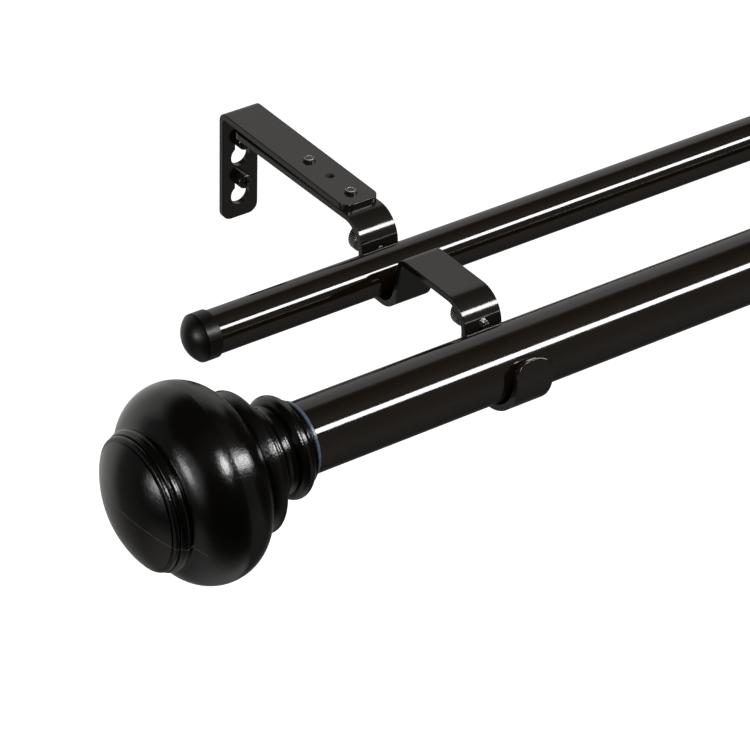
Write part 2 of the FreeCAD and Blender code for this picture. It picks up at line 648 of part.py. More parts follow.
# ---------------------------------------------------------------- build
out_x = FreeCAD.Rotation()                               # towards +X
out_minus = FreeCAD.Rotation(V(0, 0, 1), 180)            # towards -X
yf, zf = -D.front_out, D.front_up
yr, zr = -D.rear_out, D.rear_up

for side, word in ((-1, "left"), (1, "right")):
    wall_bracket("wall_bracket_" + word, side)
    support_arm("support_arm_" + word, side)
    joining_screws("arm_screws_" + word, side)
    wall_screws("wall_screws_" + word, side)
    thumb_screw("thumb_screw_rear_" + word, side, -D.rear_out + D.rear_hug, D.rear_tip_out, D.thumb_rear_up)
    thumb_screw("thumb_screw_front_" + word, side, -D.front_out - D.front_shift + D.front_hug, D.front_tip_out, D.thumb_front_up)

tube("front_outer_tube", D.front_rad, D.front_wall, D.front_half * 2, -D.front_half, yf, zf,
     D.slim_rad + D.run_gap)
tube("front_inner_tube", D.slim_rad, D.slim_wall, D.slim_long,
     D.front_half + D.front_show - D.slim_long, yf, zf)
tube("rear_outer_tube", D.rear_rad, D.rear_wall, D.rear_half * 2, -D.rear_half, yr, zr,
     D.thin_rad + D.run_gap)
tube("rear_inner_tube", D.thin_rad, D.thin_wall, D.thin_long,
     D.rear_half + D.rear_show - D.thin_long, yr, zr)

left_end = -D.front_half - D.plug_rim_long
right_end = D.front_half + D.front_show + D.plug_rim_long
# each finial hangs a little out of line: it turns about the middle of its stud's end in the plug
lever = D.stud_out / 2 + D.droop_gap
drop = lever * qsin(D.droop_deg)
reach = lever * qcos(D.droop_deg)
left_hang = left_end + D.stud_out / 2 - reach
right_hang = right_end - D.stud_out / 2 + reach
left_turn = FreeCAD.Rotation(V(0, 1, 0), -D.droop_deg.v).multiply(out_minus)
right_turn = FreeCAD.Rotation(V(0, 1, 0), D.droop_deg.v)
tube_plug("tube_plug_left", D.front_rad - D.front_wall, left_end, yf, zf, out_minus)
tube_plug("tube_plug_right", D.slim_rad - D.slim_wall, right_end, yf, zf, out_x)
finial_stud("finial_stud_left", left_hang, yf, zf - drop, left_turn)
finial_stud("finial_stud_right", right_hang, yf, zf - drop, right_turn)
finial("finial_left", left_hang, yf, zf - drop, left_turn)
finial("finial_right", right_hang, yf, zf - drop, right_turn)
end_cap("end_cap_left", D.rear_rad, -D.rear_half + D.cap_bore - D.run_gap, yr, zr, out_minus)
end_cap("end_cap_right", D.thin_rad, D.rear_half + D.rear_show - D.cap_bore + D.run_gap, yr, zr, out_x)

doc.recompute()

# ---------------------------------------------------------------- checks and export
bad = []
for obj in doc.Objects:
    if "Invalid" in obj.State or "Error" in obj.State:
        bad.append("%s %s" % (obj.Name, obj.State))
for label, obj in nodes:
    s = obj.Shape
    if s.isNull() or not s.isValid() or len(s.Solids) < 1 or s.Volume <= 0:
        bad.append("%s shape" % label)
if bad:
    raise RuntimeError("failed objects: " + "; ".join(bad))
for label, obj in nodes:
    s = obj.Shape
    s.exportStep("parts/%s.step" % label)
    bb = s.BoundBox
    print("%-26s solids %d vol %9.1f  x %.1f..%.1f y %.1f..%.1f z %.1f..%.1f" % (
        label, len(s.Solids), s.Volume, bb.XMin, bb.XMax, bb.YMin, bb.YMax, bb.ZMin, bb.ZMax))
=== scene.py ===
import json
import math

import bmesh
import bpy
from mathutils import Matrix, Vector


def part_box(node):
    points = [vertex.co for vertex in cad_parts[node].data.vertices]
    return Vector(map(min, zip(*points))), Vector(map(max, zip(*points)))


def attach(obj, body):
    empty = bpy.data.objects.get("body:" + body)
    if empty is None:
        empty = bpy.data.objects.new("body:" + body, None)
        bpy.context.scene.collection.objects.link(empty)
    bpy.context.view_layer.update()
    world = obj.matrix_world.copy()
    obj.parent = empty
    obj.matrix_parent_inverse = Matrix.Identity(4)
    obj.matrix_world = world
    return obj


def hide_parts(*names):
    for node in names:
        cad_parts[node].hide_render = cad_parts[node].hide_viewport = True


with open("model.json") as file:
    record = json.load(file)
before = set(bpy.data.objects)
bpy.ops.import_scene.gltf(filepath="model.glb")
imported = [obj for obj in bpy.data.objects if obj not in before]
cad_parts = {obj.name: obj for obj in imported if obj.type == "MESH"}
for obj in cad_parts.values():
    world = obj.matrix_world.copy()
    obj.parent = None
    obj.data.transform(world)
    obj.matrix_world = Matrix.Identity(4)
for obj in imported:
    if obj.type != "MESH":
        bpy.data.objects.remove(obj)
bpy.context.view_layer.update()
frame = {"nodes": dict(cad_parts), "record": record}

scene = bpy.context.scene
NODES = frame["nodes"]
BODY_OF = {n: b for b, members in frame["record"]["behaviour"]["bodies"].items() for n in members}
MM = 0.001


# ------------------------------------------------------------------ node helpers
class Mat:
    """A node material under construction."""

    def __init__(self, name):
        self.m = bpy.data.materials.new(name)
        self.m.use_nodes = True
        self.t = self.m.node_tree
        self.t.nodes.clear()
        self.out = self.t.nodes.new("ShaderNodeOutputMaterial")
        self.bsdf = self.t.nodes.new("ShaderNodeBsdfPrincipled")
        self.t.links.new(self.bsdf.outputs[0], self.out.inputs[0])
        self.coord = self.t.nodes.new("ShaderNodeTexCoord").outputs["Object"]

    def new(self, kind, **props):
        n = self.t.nodes.new(kind)
        for k, v in props.items():
            setattr(n, k, v)
        return n

    def link(self, a, b):
        self.t.links.new(a, b)

    def stretched(self, scale):
        n = self.new("ShaderNodeMapping")
        n.inputs["Scale"].default_value = scale
        self.link(self.coord, n.inputs["Vector"])
        return n.outputs["Vector"]

    def noise(self, scale, detail=3.0, rough=0.5, vector=None):
        n = self.new("ShaderNodeTexNoise")
        n.inputs["Scale"].default_value = scale
        n.inputs["Detail"].default_value = detail
        n.inputs["Roughness"].default_value = rough
        self.link(vector if vector is not None else self.coord, n.inputs["Vector"])
        return n.outputs["Fac"]

    def spread(self, value, low, high, a=0.3, b=0.7):
        n = self.new("ShaderNodeMapRange")
        n.inputs["From Min"].default_value = a
        n.inputs["From Max"].default_value = b
        n.inputs["To Min"].default_value = low
        n.inputs["To Max"].default_value = high
        self.link(value, n.inputs["Value"])
        return n.outputs["Result"]

    def ramp(self, value, stops):
        n = self.new("ShaderNodeValToRGB")
        el = n.color_ramp.elements
        while len(el) < len(stops):
            el.new(0.5)
        for e, (p, c) in zip(el, stops):
            e.position = p
            e.color = (*c, 1.0)
        self.link(value, n.inputs["Fac"])
        return n.outputs["Color"]

    def bump(self, height, strength, distance, under=None):
        n = self.new("ShaderNodeBump")
        n.inputs["Strength"].default_value = strength
        n.inputs["Distance"].default_value = distance
        self.link(height, n.inputs["Height"])
        if under is not None:
            self.link(under, n.inputs["Normal"])
        return n.outputs["Normal"]

    def set(self, **vals):
        for k, v in vals.items():
            self.bsdf.inputs[k.replace("_", " ")].default_value = v


def tube_enamel():
    """Gloss black enamel with a brown undertone, faint drawing lines along the tube."""
    m = Mat("tube_enamel")
    lines = m.noise(900.0, 4.0, 0.6, m.stretched((0.012, 1.0, 1.0)))
    cloud = m.noise(34.0, 3.0)
    m.link(m.ramp(cloud, [(0.3, (0.0070, 0.0040, 0.0014)), (0.7, (0.0095, 0.0056, 0.0022))]),
           m.bsdf.inputs["Base Color"])
    m.link(m.spread(m.noise(140.0, 4.0), 0.060, 0.090), m.bsdf.inputs["Roughness"])
    peel = m.bump(m.noise(420.0, 2.0), 0.02, 0.0004)
    m.link(m.bump(lines, 0.015, 0.0003, peel), m.bsdf.inputs["Normal"])
    m.set(IOR=1.5)
    return m.m


def strip_enamel():
    """Black stoving enamel on bent steel strip: slight orange peel, faint rolling lines."""
    m = Mat("strip_enamel")
    cloud = m.noise(60.0, 4.0)
    m.link(m.ramp(cloud, [(0.3, (0.0084, 0.0068, 0.0050)), (0.7, (0.0118, 0.0098, 0.0073))]),
           m.bsdf.inputs["Base Color"])
    m.link(m.spread(m.noise(220.0, 5.0, 0.6), 0.09, 0.14), m.bsdf.inputs["Roughness"])
    peel = m.bump(m.noise(700.0, 2.0), 0.025, 0.0004)
    m.link(m.bump(m.noise(260.0, 2.0), 0.022, 0.0006, peel), m.bsdf.inputs["Normal"])
    m.set(IOR=1.46)
    return m.m


def moulded(name, low, high, rough, grain=0.16, ior=1.48, seam=False):
    """Satin moulded resin with a fine grain and uneven gloss. With seam, a hair-thin moulding line
    runs across the domed face, and the face is a little browner below it."""
    m = Mat(name)
    color = m.ramp(m.noise(45.0, 4.0), [(0.3, low), (0.7, high)])
    if seam:
        def calc(op, a, b=None):
            n = m.new("ShaderNodeMath", operation=op)
            for k, v in enumerate((a, b)):
                if v is None:
                    continue
                if isinstance(v, (int, float)):
                    n.inputs[k].default_value = v
                else:
                    m.link(v, n.inputs[k])
            return n.outputs[0]

        part = m.new("ShaderNodeSeparateXYZ")
        m.link(m.coord, part.inputs[0])
        y = calc("ADD", part.outputs["Y"], 0.1655)
        bow = calc("MULTIPLY", calc("MULTIPLY", y, y), -10.5)
        gap = calc("SUBTRACT", part.outputs["Z"], calc("ADD", bow, 0.0023))
        on_line = calc("LESS_THAN", calc("ABSOLUTE", gap), 0.00013)
        out_here = calc("GREATER_THAN", calc("ABSOLUTE", calc("SUBTRACT", part.outputs["X"], 0.05)), 0.453)
        on_dome = calc("GREATER_THAN", calc("ABSOLUTE", calc("SUBTRACT", part.outputs["X"], 0.05)), 0.4615)
        worn = m.spread(m.noise(160.0, 2.0), 0.6, 1.0, 0.35, 0.6)
        below = m.new("ShaderNodeMix", data_type="RGBA")
        m.link(calc("MULTIPLY", calc("LESS_THAN", gap, 0.0), on_dome), below.inputs["Factor"])
        m.link(color, below.inputs["A"])
        below.inputs["B"].default_value = (0.0070, 0.0042, 0.0018, 1)
        line = m.new("ShaderNodeMix", data_type="RGBA")
        m.link(calc("MULTIPLY", calc("MULTIPLY", on_line, out_here), worn), line.inputs["Factor"])
        m.link(below.outputs["Result"], line.inputs["A"])
        line.inputs["B"].default_value = (0.115, 0.108, 0.092, 1)
        color = line.outputs["Result"]
    m.link(color, m.bsdf.inputs["Base Color"])
    m.link(m.spread(m.noise(130.0, 5.0, 0.6), rough - 0.02, rough + 0.02), m.bsdf.inputs["Roughness"])
    fine = m.bump(m.noise(2200.0, 2.0), grain, 0.00025)
    m.link(m.bump(m.noise(240.0, 2.0), 0.05, 0.0007, fine), m.bsdf.inputs["Normal"])
    m.set(IOR=ior)
    return m.m


def screw_black():
    """Black coated screw steel, rubbed a little lighter in spots."""
    m = Mat("screw_black")
    rub = m.noise(700.0, 5.0, 0.65)
    m.link(m.ramp(rub, [(0.42, (0.0045, 0.0042, 0.0040)), (0.76, (0.040, 0.038, 0.036))]),
           m.bsdf.inputs["Base Color"])
    m.link(m.spread(m.noise(420.0, 4.0), 0.14, 0.26), m.bsdf.inputs["Roughness"])
    m.link(m.bump(m.noise(1800.0, 3.0), 0.12, 0.0003), m.bsdf.inputs["Normal"])
    m.set(IOR=1.6)
    return m.m


def zinc():
    m = Mat("zinc_plated")
    m.link(m.ramp(m.noise(500.0, 5.0), [(0.3, (0.36, 0.37, 0.38)), (0.7, (0.52, 0.53, 0.54))]),
           m.bsdf.inputs["Base Color"])
    m.link(m.spread(m.noise(300.0, 4.0), 0.25, 0.42), m.bsdf.inputs["Roughness"])
    m.link(m.bump(m.noise(1500.0, 3.0), 0.1, 0.0003), m.bsdf.inputs["Normal"])
    m.set(Metallic=1.0)
    return m.m


def milky():
    """Milky blue-grey plastic of the plug."""
    m = Mat("milky_plug")
    m.link(m.ramp(m.noise(260.0, 3.0), [(0.3, (0.085, 0.125, 0.185)), (0.7, (0.13, 0.18, 0.25))]),
           m.bsdf.inputs["Base Color"])
    m.link(m.spread(m.noise(500.0, 4.0), 0.22, 0.34), m.bsdf.inputs["Roughness"])
    m.link(m.bump(m.noise(1400.0, 2.0), 0.06, 0.0003), m.bsdf.inputs["Normal"])
    m.set(IOR=1.5, Transmission_Weight=0.25)
    return m.m


def bare_thread():
    """Thread left without enamel: dark red-brown primer with rubbed crests."""
    m = Mat("bare_thread")
    m.link(m.ramp(m.noise(900.0, 4.0), [(0.35, (0.012, 0.002, 0.002)), (0.7, (0.034, 0.006, 0.005))]),
           m.bsdf.inputs["Base Color"])
    m.link(m.spread(m.noise(700.0, 3.0), 0.6, 0.75), m.bsdf.inputs["Roughness"])
    m.link(m.bump(m.noise(1600.0, 2.0), 0.1, 0.0002), m.bsdf.inputs["Normal"])
    m.set(IOR=1.3)
    return m.m


def painted_crest_highlight():
    """Light grey painted highlight for the knurl's crests and the screw ends' edge rings, standing in for the light
    they catch.
    """
    m = Mat("painted_crest_highlight")
    m.link(m.ramp(m.noise(900.0, 4.0), [(0.35, (0.38, 0.37, 0.35)), (0.7, (0.62, 0.60, 0.57))]),
           m.bsdf.inputs["Base Color"])
    m.link(m.spread(m.noise(700.0, 3.0), 0.22, 0.34), m.bsdf.inputs["Roughness"])
    m.link(m.bump(m.noise(1600.0, 2.0), 0.08, 0.0002), m.bsdf.inputs["Normal"])
    m.set(IOR=1.6)
    return m.m


MATS = {
    "gloss_tube": tube_enamel(),
    "black_steel": strip_enamel(),
    "satin_resin": moulded("resin_satin", (0.0011, 0.0009, 0.0006), (0.0019, 0.0016, 0.0011), 0.14, 0.22, 1.40, True),
    "cap_plastic": moulded("cap_satin", (0.0024, 0.0019, 0.0014), (0.0036, 0.0029, 0.0022), 0.30, 0.16, 1.31),
    "black_screw": screw_black(),
    "stud_steel": zinc(),
    "clear_plug": milky(),
}
# painted highlight: a light grey colour put where crests and edges would catch light
PAINTED_HIGHLIGHT = painted_crest_highlight()
SLOT_OF = {s["node"]: s["material_slot"] for s in frame["record"]["subparts"]}


def shade(obj, angle=35.0):
    """Smooth shading that keeps edges sharper than the angle."""
    me = obj.data
    for p in me.polygons:
        p.use_smooth = True
    bm = bmesh.new()
    bm.from_mesh(me)
    lim = math.radians(angle)
    flags = [len(e.link_faces) != 2 or e.calc_face_angle(0.0) > lim for e in bm.edges]
    bm.free()
    for e, f in zip(me.edges, flags):
        e.use_edge_sharp = f


for name, obj in NODES.items():
    obj.data.materials.clear()
    obj.data.materials.append(MATS[SLOT_OF[name]])

# ------------------------------------------------------------------ mesh helpers
def add_mesh(name, verts, faces, material, angle=35.0):
    me = bpy.data.meshes.new(name)
    me.from_pydata([tuple(v) for v in verts], [], faces)
    bm = bmesh.new()
    bm.from_mesh(me)
    bmesh.ops.remove_doubles(bm, verts=bm.verts, dist=1e-7)
    bmesh.ops.recalc_face_normals(bm, faces=bm.faces)
    bm.to_mesh(me)
    bm.free()
    me.materials.append(material)
    obj = bpy.data.objects.new(name, me)
    scene.collection.objects.link(obj)
    shade(obj, angle)
    return obj


def ring_surface(rows, seg, radius, close_start=True, close_end=True):
    """Closed skin about the X axis. rows: list of x or (x, tag); radius(row, angle) gives r."""
    verts, faces = [], []
    n = len(rows)
    for i, row in enumerate(rows):
        x = row[0]
        for k in range(seg):
            a = 2 * math.pi * k / seg
            r = radius(row, a)
            verts.append((x, r * math.cos(a), r * math.sin(a)))
    for i in range(n - 1):
        for k in range(seg):
            j = (k + 1) % seg
            faces.append((i * seg + k, i * seg + j, (i + 1) * seg + j, (i + 1) * seg + k))
    if close_start:
        verts.append((rows[0][0], 0, 0))
        c = len(verts) - 1
        faces += [(c, (k + 1) % seg, k) for k in range(seg)]
    if close_end:
        verts.append((rows[-1][0], 0, 0))
        c = len(verts) - 1
        b = (n - 1) * seg
        faces += [(c, b + k, b + (k + 1) % seg) for k in range(seg)]
    return verts, faces


def thread_rows(x0, x1, r, depth, pitch, per=8, lead=0.5 * MM):
    """Rows of a threaded shank from x0 to x1 with a chamfered end at x1."""
    n = max(4, int(abs(x1 - x0) / pitch * per))
    return [(x0 + (x1 - x0) * i / n, r, depth, pitch, lead, x1) for i in range(n + 1)]


def thread_radius(row, a):
    x, r, depth, pitch, lead, end = row
    ph = (x / pitch - a / (2 * math.pi)) % 1.0
    tri = abs(ph * 2 - 1)
    cut = min(1.0, tri * 1.25)
    r = r - depth * cut
    near = abs(end - x)
    if near < lead:
        r = min(r, row[1] - (lead - near) * 0.9)
    return r


def place(obj, origin, x_axis):
    """Turns a piece built along +X so that its X axis points along x_axis from origin."""
    rot = Vector(x_axis).to_track_quat("X", "Z").to_matrix().to_4x4()
    obj.data.transform(Matrix.Translation(Vector(origin)) @ rot)
    obj.data.update()
    return obj


def union_of(parts, name, material, angle=35.0):
    verts, faces = [], []
    for v, f in parts:
        o = len(verts)
        verts += v
        faces += [tuple(i + o for i in g) for g in f]
    return add_mesh(name, verts, faces, material, angle)


def carve(obj, cutter):
    """Cuts cutter out of obj and removes it."""
    mod = obj.modifiers.new("cut", "BOOLEAN")
    mod.operation = "DIFFERENCE"
    mod.solver = "EXACT"
    mod.object = cutter
    dg = bpy.context.evaluated_depsgraph_get()
    me = bpy.data.meshes.new_from_object(obj.evaluated_get(dg))
    obj.modifiers.clear()
    obj.data = me
    bpy.data.objects.remove(cutter)
    return obj


def cross_cutter(x_top, depth, long_half, wide_half, outward):
    """A tapered cross driver recess. outward is the sign of X towards the outside of the head."""
    verts, faces = [], []
    for turn in (0, 1):
        o = len(verts)
        for x, s in ((x_top + outward * 0.4 * MM, 1.12), (x_top - outward * depth, 0.42)):
            for sy, sz in ((-1, -1), (1, -1), (1, 1), (-1, 1)):
                y, z = sy * long_half * s, sz * wide_half * (0.55 + 0.45 * s)
                if turn:
                    y, z = z, y
                verts.append((x, y, z))
        f = [(0, 1, 2, 3), (7, 6, 5, 4), (0, 4, 5, 1), (1, 5, 6, 2), (2, 6, 7, 3), (3, 7, 4, 0)]
        faces += [tuple(i + o for i in g) for g in f]
    return verts, faces


def screw_head(name, x0, x1, r, round_r, material):
    """Pan head between x0 (seat) and x1 (outer face) with a cross recess."""
    s = 1 if x1 > x0 else -1
    rows = [(x0, r - 0.12 * MM), (x0 + s * 0.12 * MM, r)]
    steps = 8
    for i in range(steps + 1):
        t = math.pi / 2 * i / steps
        rows.append((x1 - s * round_r * (1 - math.sin(t)) - s * 0.12 * MM, r - round_r * (1 - math.cos(t))))
    rows.append((x1 - s * 0.05 * MM, (r - round_r) * 0.6))
    rows.append((x1, (r - round_r) * 0.15))
    head = add_mesh(name, *ring_surface(rows, 64, lambda row, a: row[1]), material, 40)
    for turn in (0, 1):
        v, f = cross_cutter(x1, 1.7 * MM, r * 0.62, 0.42 * MM, s)
        half = v[:8] if turn == 0 else v[8:]
        cut = add_mesh("cutter%d" % turn, half, f[:6], material)
        carve(head, cut)
    for p in head.data.polygons:
        p.use_smooth = True
    shade(head, 40)
    return head


# ------------------------------------------------------------------ thumb screws with knurled heads
def thumb_screw(node):
    lo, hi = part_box(node)
    cx, cz = (lo.x + hi.x) / 2, (lo.z + hi.z) / 2
    length = hi.y - lo.y
    head_r = (hi.z - lo.z) / 2
    head_len = 7.9 * MM
    neck_len = 2.3 * MM
    neck = length - head_len
    teeth = 44

    def head_radius(row, a):
        x, r, cut = row
        ph = (a * teeth / (2 * math.pi)) % 1.0
        return r - cut * (0.5 + 0.5 * math.cos(2 * math.pi * ph)) ** 0.7

    rows = []
    rd = 0.48 * MM
    top = head_r / MM
    prof = [(0.0, 3.15, 0.0), (1.2, 3.83, 0.0), (2.6, 4.62, 0.0), (3.6, 5.2, 0.0), (4.0, top - 0.16, 0.5),
            (4.25, top - 0.03, 0.95), (4.6, top, 1.0), (6.9, top, 1.0), (7.15, top - 0.05, 0.95),
            (7.4, top - 0.24, 0.6), (7.55, top - 0.5, 0.25), (7.65, top - 0.8, 0.0), (7.74, top - 1.3, 0.0),
            (7.8, top - 2.1, 0.0), (7.85, top - 3.1, 0.0), (7.88, top - 4.2, 0.0), (7.9, 0.25, 0.0)]
    for x, r, c in prof:
        rows.append((neck + x * MM, r * MM, c * rd))
    head = ring_surface(rows, teeth * 8, head_radius)
    collar = ring_surface([(neck - neck_len + 0.42 * MM, 2.7 * MM), (neck - neck_len + 0.52 * MM, 3.15 * MM),
                           (neck - 0.5 * MM, 3.2 * MM), (neck + 0.2 * MM, 3.2 * MM)], 72, lambda row, a: row[1])
    body_rows = thread_rows(neck - neck_len + 1.0 * MM, 0.9 * MM, 2.0 * MM, 0.34 * MM, 0.7 * MM, 10)
    shank = ring_surface(body_rows, 48, thread_radius)
    tip = ring_surface([(1.1 * MM, 1.4 * MM), (0.3 * MM, 1.4 * MM), (0.08 * MM, 1.25 * MM), (0.0, 1.0 * MM)],
                       40, lambda row, a: row[1])
    obj = union_of([head, collar, shank, tip], node + "_turned", MATS["black_screw"], 50)
    # the crests of the knurl get a painted highlight: light grey colour in place of the black coating
    obj.data.materials.append(PAINTED_HIGHLIGHT)
    for p in obj.data.polygons:
        if neck + 4.1 * MM < p.center.x < neck + 7.3 * MM and math.hypot(p.center.y, p.center.z) > head_r - 0.2 * MM:
            p.material_index = 1
    place(obj, (cx, lo.y, cz), (0, 1, 0))
    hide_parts(node)
    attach(obj, BODY_OF[node])
    return obj


for side in ("left", "right"):
    for where in ("front", "rear"):
        thumb_screw("thumb_screw_%s_%s" % (where, side))


# ------------------------------------------------------------------ wall screws and joining screws
def join_objects(objs, name):
    bm = bmesh.new()
    for o in objs:
        bm.from_mesh(o.data)
    me = bpy.data.meshes.new(name)
    bm.to_mesh(me)
    bm.free()
    me.materials.append(objs[0].data.materials[0])
    for o in objs:
        bpy.data.objects.remove(o)
    obj = bpy.data.objects.new(name, me)
    scene.collection.objects.link(obj)
    shade(obj, 40)
    return obj


def screw_piece(name, seat, axis, head_r, head_h, shank_r, length, round_r, bare_end=0.0):
    """One pan head screw. axis points from the seat along the shank. bare_end is a smooth turned
    end with a chamfer and a shallow hollow."""
    head = screw_head(name + "_head", 0.0, -head_h, head_r, round_r, MATS["black_screw"])
    if bare_end:
        cut = length - bare_end
        rows = thread_rows(0.0, cut, shank_r, 0.3 * MM, 0.7 * MM, 10, 0.4 * MM)
        for dx, r in ((0.05 * MM, shank_r), (bare_end - 0.14 * MM, shank_r), (bare_end, shank_r - 0.14 * MM),
                      (bare_end, shank_r - 0.72 * MM), (bare_end - 0.16 * MM, shank_r - 0.82 * MM),
                      (bare_end - 0.16 * MM, 0.15 * MM)):
            rows.append((cut + dx, r, 0.0, 0.7 * MM, 0.0, length + 1.0))
    else:
        rows = thread_rows(0.0, length, shank_r, 0.3 * MM, 0.7 * MM, 10, 0.4 * MM)
    shank = add_mesh(name + "_shank", *ring_surface(rows, 48, thread_radius), MATS["black_screw"], 50)
    both = join_objects([head, shank], name)
    if bare_end:
        # enamelled flat end, with a painted highlight (light grey colour) on its edge rings
        both.data.materials.append(PAINTED_HIGHLIGHT)
        both.data.materials.append(MATS["black_steel"])
        for p in both.data.polygons:
            r = math.hypot(p.center.y, p.center.z)
            if p.center.x > length - 0.2 * MM:
                edge = (shank_r - 0.16 * MM < r < shank_r - 0.02 * MM or
                        shank_r - 0.84 * MM < r < shank_r - 0.7 * MM)
                p.material_index = 1 if edge else 2
    place(both, seat, axis)
    return both


for side in ("left", "right"):
    node = "wall_screws_" + side
    lo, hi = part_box(node)
    cx = (lo.x + hi.x) / 2
    for word, z in (("upper", hi.z - 2.9 * MM), ("lower", lo.z + 2.9 * MM)):
        o = screw_piece("wall_screw_%s_%s" % (word, side), (cx, -2.5 * MM, z), (0, 1, 0),
                        2.9 * MM, 4.0 * MM, 1.95 * MM, 9.0 * MM, 0.8 * MM)
        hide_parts(node)
        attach(o, BODY_OF[node])
    node = "arm_screws_" + side
    lo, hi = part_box(node)
    cx = (lo.x + hi.x) / 2
    for word, y in (("front", -72.9 * MM), ("rear", -46.9 * MM)):
        slope = (17.6 + (18.95 - 17.6) * (abs(y) / MM - 8.5) / (80.6 - 8.5) - 2.6) * MM
        o = screw_piece("arm_screw_%s_%s" % (word, side), (cx, y, slope), (0, 0, 1),
                        3.5 * MM, 2.4 * MM, 1.95 * MM, hi.z - slope, 0.9 * MM, 1.4 * MM)
        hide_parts(node)
        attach(o, BODY_OF[node])

# ------------------------------------------------------------------ cut thread inside the open middle hole
for side in ("left", "right"):
    node = "wall_bracket_" + side
    lo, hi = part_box(node)
    cx, cy = (lo.x + hi.x) / 2, -59.9 * MM
    zs = [v.co.z for v in NODES[node].data.vertices if math.hypot(v.co.x - cx, v.co.y - cy) < 1.8 * MM]
    z0, z1 = min(zs) + 0.12 * MM, max(zs) - 0.12 * MM
    rows = [(0.0, 1.6 * MM)]
    steps = int((z1 - z0) / (0.25 * MM))
    for i in range(steps + 1):
        rows.append(((z1 - z0) * i / steps, (1.52 if i % 2 else 1.28) * MM))
    rows.append((z1 - z0, 1.6 * MM))
    rows.append((0.0, 1.6 * MM))
    piece = add_mesh("hole_thread_" + side, *ring_surface(rows, 48, lambda row, a: row[1], False, False),
                     bare_thread() if side == "left" else bpy.data.materials["bare_thread"], 20)
    place(piece, (cx, cy, z0), (0, 0, 1))
    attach(piece, BODY_OF[node])

# ------------------------------------------------------------------ smooth shading of carried-over nodes
for name, obj in NODES.items():
    if not obj.hide_render:
        for p in obj.data.polygons:
            p.use_smooth = True

# ------------------------------------------------------------------ floor
def floor_material():
    m = bpy.data.materials.new("floor_pale")
    m.use_nodes = True
    t = m.node_tree
    b = t.nodes["Principled BSDF"]
    n = t.nodes.new("ShaderNodeTexNoise")
    n.inputs["Scale"].default_value = 1.2
    r = t.nodes.new("ShaderNodeValToRGB")
    r.color_ramp.elements[0].color = (0.93, 0.93, 0.93, 1)
    r.color_ramp.elements[1].color = (0.96, 0.96, 0.96, 1)
    t.links.new(n.outputs["Fac"], r.inputs["Fac"])
    t.links.new(r.outputs["Color"], b.inputs["Base Color"])
    b.inputs["Roughness"].default_value = 0.9
    b.inputs["Emission Color"].default_value = (1, 1, 1, 1)
    b.inputs["Emission Strength"].default_value = 0.82
    return m


me = bpy.data.meshes.new("floor")
me.from_pydata([(-14, -14, -1.1), (14, -14, -1.1), (14, 14, -1.1), (-14, 14, -1.1)], [], [(0, 1, 2, 3)])
me.materials.append(floor_material())
floor = bpy.data.objects.new("floor", me)
scene.collection.objects.link(floor)
floor.visible_glossy = False
floor.visible_diffuse = False


# ------------------------------------------------------------------ studio light
def area(name, at, target, size_x, size_y, radiance, color=(1, 1, 1)):
    l = bpy.data.lights.new(name, "AREA")
    l.shape = "RECTANGLE"
    l.size, l.size_y = size_x, size_y
    l.energy = radiance * math.pi * size_x * size_y
    l.color = color
    o = bpy.data.objects.new(name, l)
    scene.collection.objects.link(o)
    o.location = at
    back = (Vector(at) - Vector(target)).normalized()
    xa = Vector((1, 0, 0))
    if abs(back.dot(xa)) > 0.9:
        xa = Vector((0, 1, 0))
    ya = back.cross(xa).normalized()
    xa = ya.cross(back).normalized()
    o.rotation_mode = "QUATERNION"
    o.rotation_quaternion = Matrix((xa, ya, back)).transposed().to_quaternion()
    o.visible_camera = False
    return o


DIST = 1.5


def above(x, psi):
    """A place DIST away from the front pole, in the direction psi about the pole's axis."""
    a = math.radians(psi)
    return (x, -0.1655 + DIST * math.cos(a), 0.002 + DIST * math.sin(a))


strips = [
    area("strip_long", above(1.78, 135.2), (1.78, -0.1655, 0.0), 2.84, 0.35, 28.0),
    area("key_square", above(-0.36, 134.0), (-0.36, -0.1655, 0.0), 0.36, 0.40, 40.0),
    area("side_soft", (-2.37, -0.10, 0.28), (-0.391, -0.1655, 0.0), 0.58, 0.35, 15.0)]
for o in strips:
    o.visible_diffuse = False
wash = area("wash", (-0.5, -1.1, 1.5), (-0.2, -0.12, 0.0), 1.6, 1.6, 3.0)
wash.visible_glossy = False

world = bpy.data.worlds.new("studio")
scene.world = world
world.use_nodes = True
wt = world.node_tree
wt.nodes.clear()


def wn(kind, **props):
    n = wt.nodes.new(kind)
    for k, v in props.items():
        setattr(n, k, v)
    return n


coord = wn("ShaderNodeTexCoord")
sep = wn("ShaderNodeSeparateXYZ")
wt.links.new(coord.outputs["Generated"], sep.inputs[0])
ang = wn("ShaderNodeMath", operation="ARCTAN2")
wt.links.new(sep.outputs["Z"], ang.inputs[0])
wt.links.new(sep.outputs["Y"], ang.inputs[1])
pos = wn("ShaderNodeMapRange")
pos.inputs["From Min"].default_value = -math.pi
pos.inputs["From Max"].default_value = math.pi
wt.links.new(ang.outputs[0], pos.inputs["Value"])


def band(stops):
    """Grey level around the poles' axis: stops are (degrees from +Y over +Z, level)."""
    r = wn("ShaderNodeValToRGB")
    el = r.color_ramp.elements
    while len(el) < len(stops):
        el.new(0.5)
    for e, (deg, v) in zip(el, stops):
        e.position = (deg + 180) / 360
        e.color = (v, v * 0.985, v * 0.96, 1)
    wt.links.new(pos.outputs["Result"], r.inputs["Fac"])
    return r.outputs["Color"]


def math_node(op, a, b=None):
    n = wn("ShaderNodeMath", operation=op)
    for i, v in enumerate((a, b)):
        if v is None:
            continue
        if isinstance(v, (int, float)):
            n.inputs[i].default_value = v
        else:
            wt.links.new(v, n.inputs[i])
    return n.outputs[0]


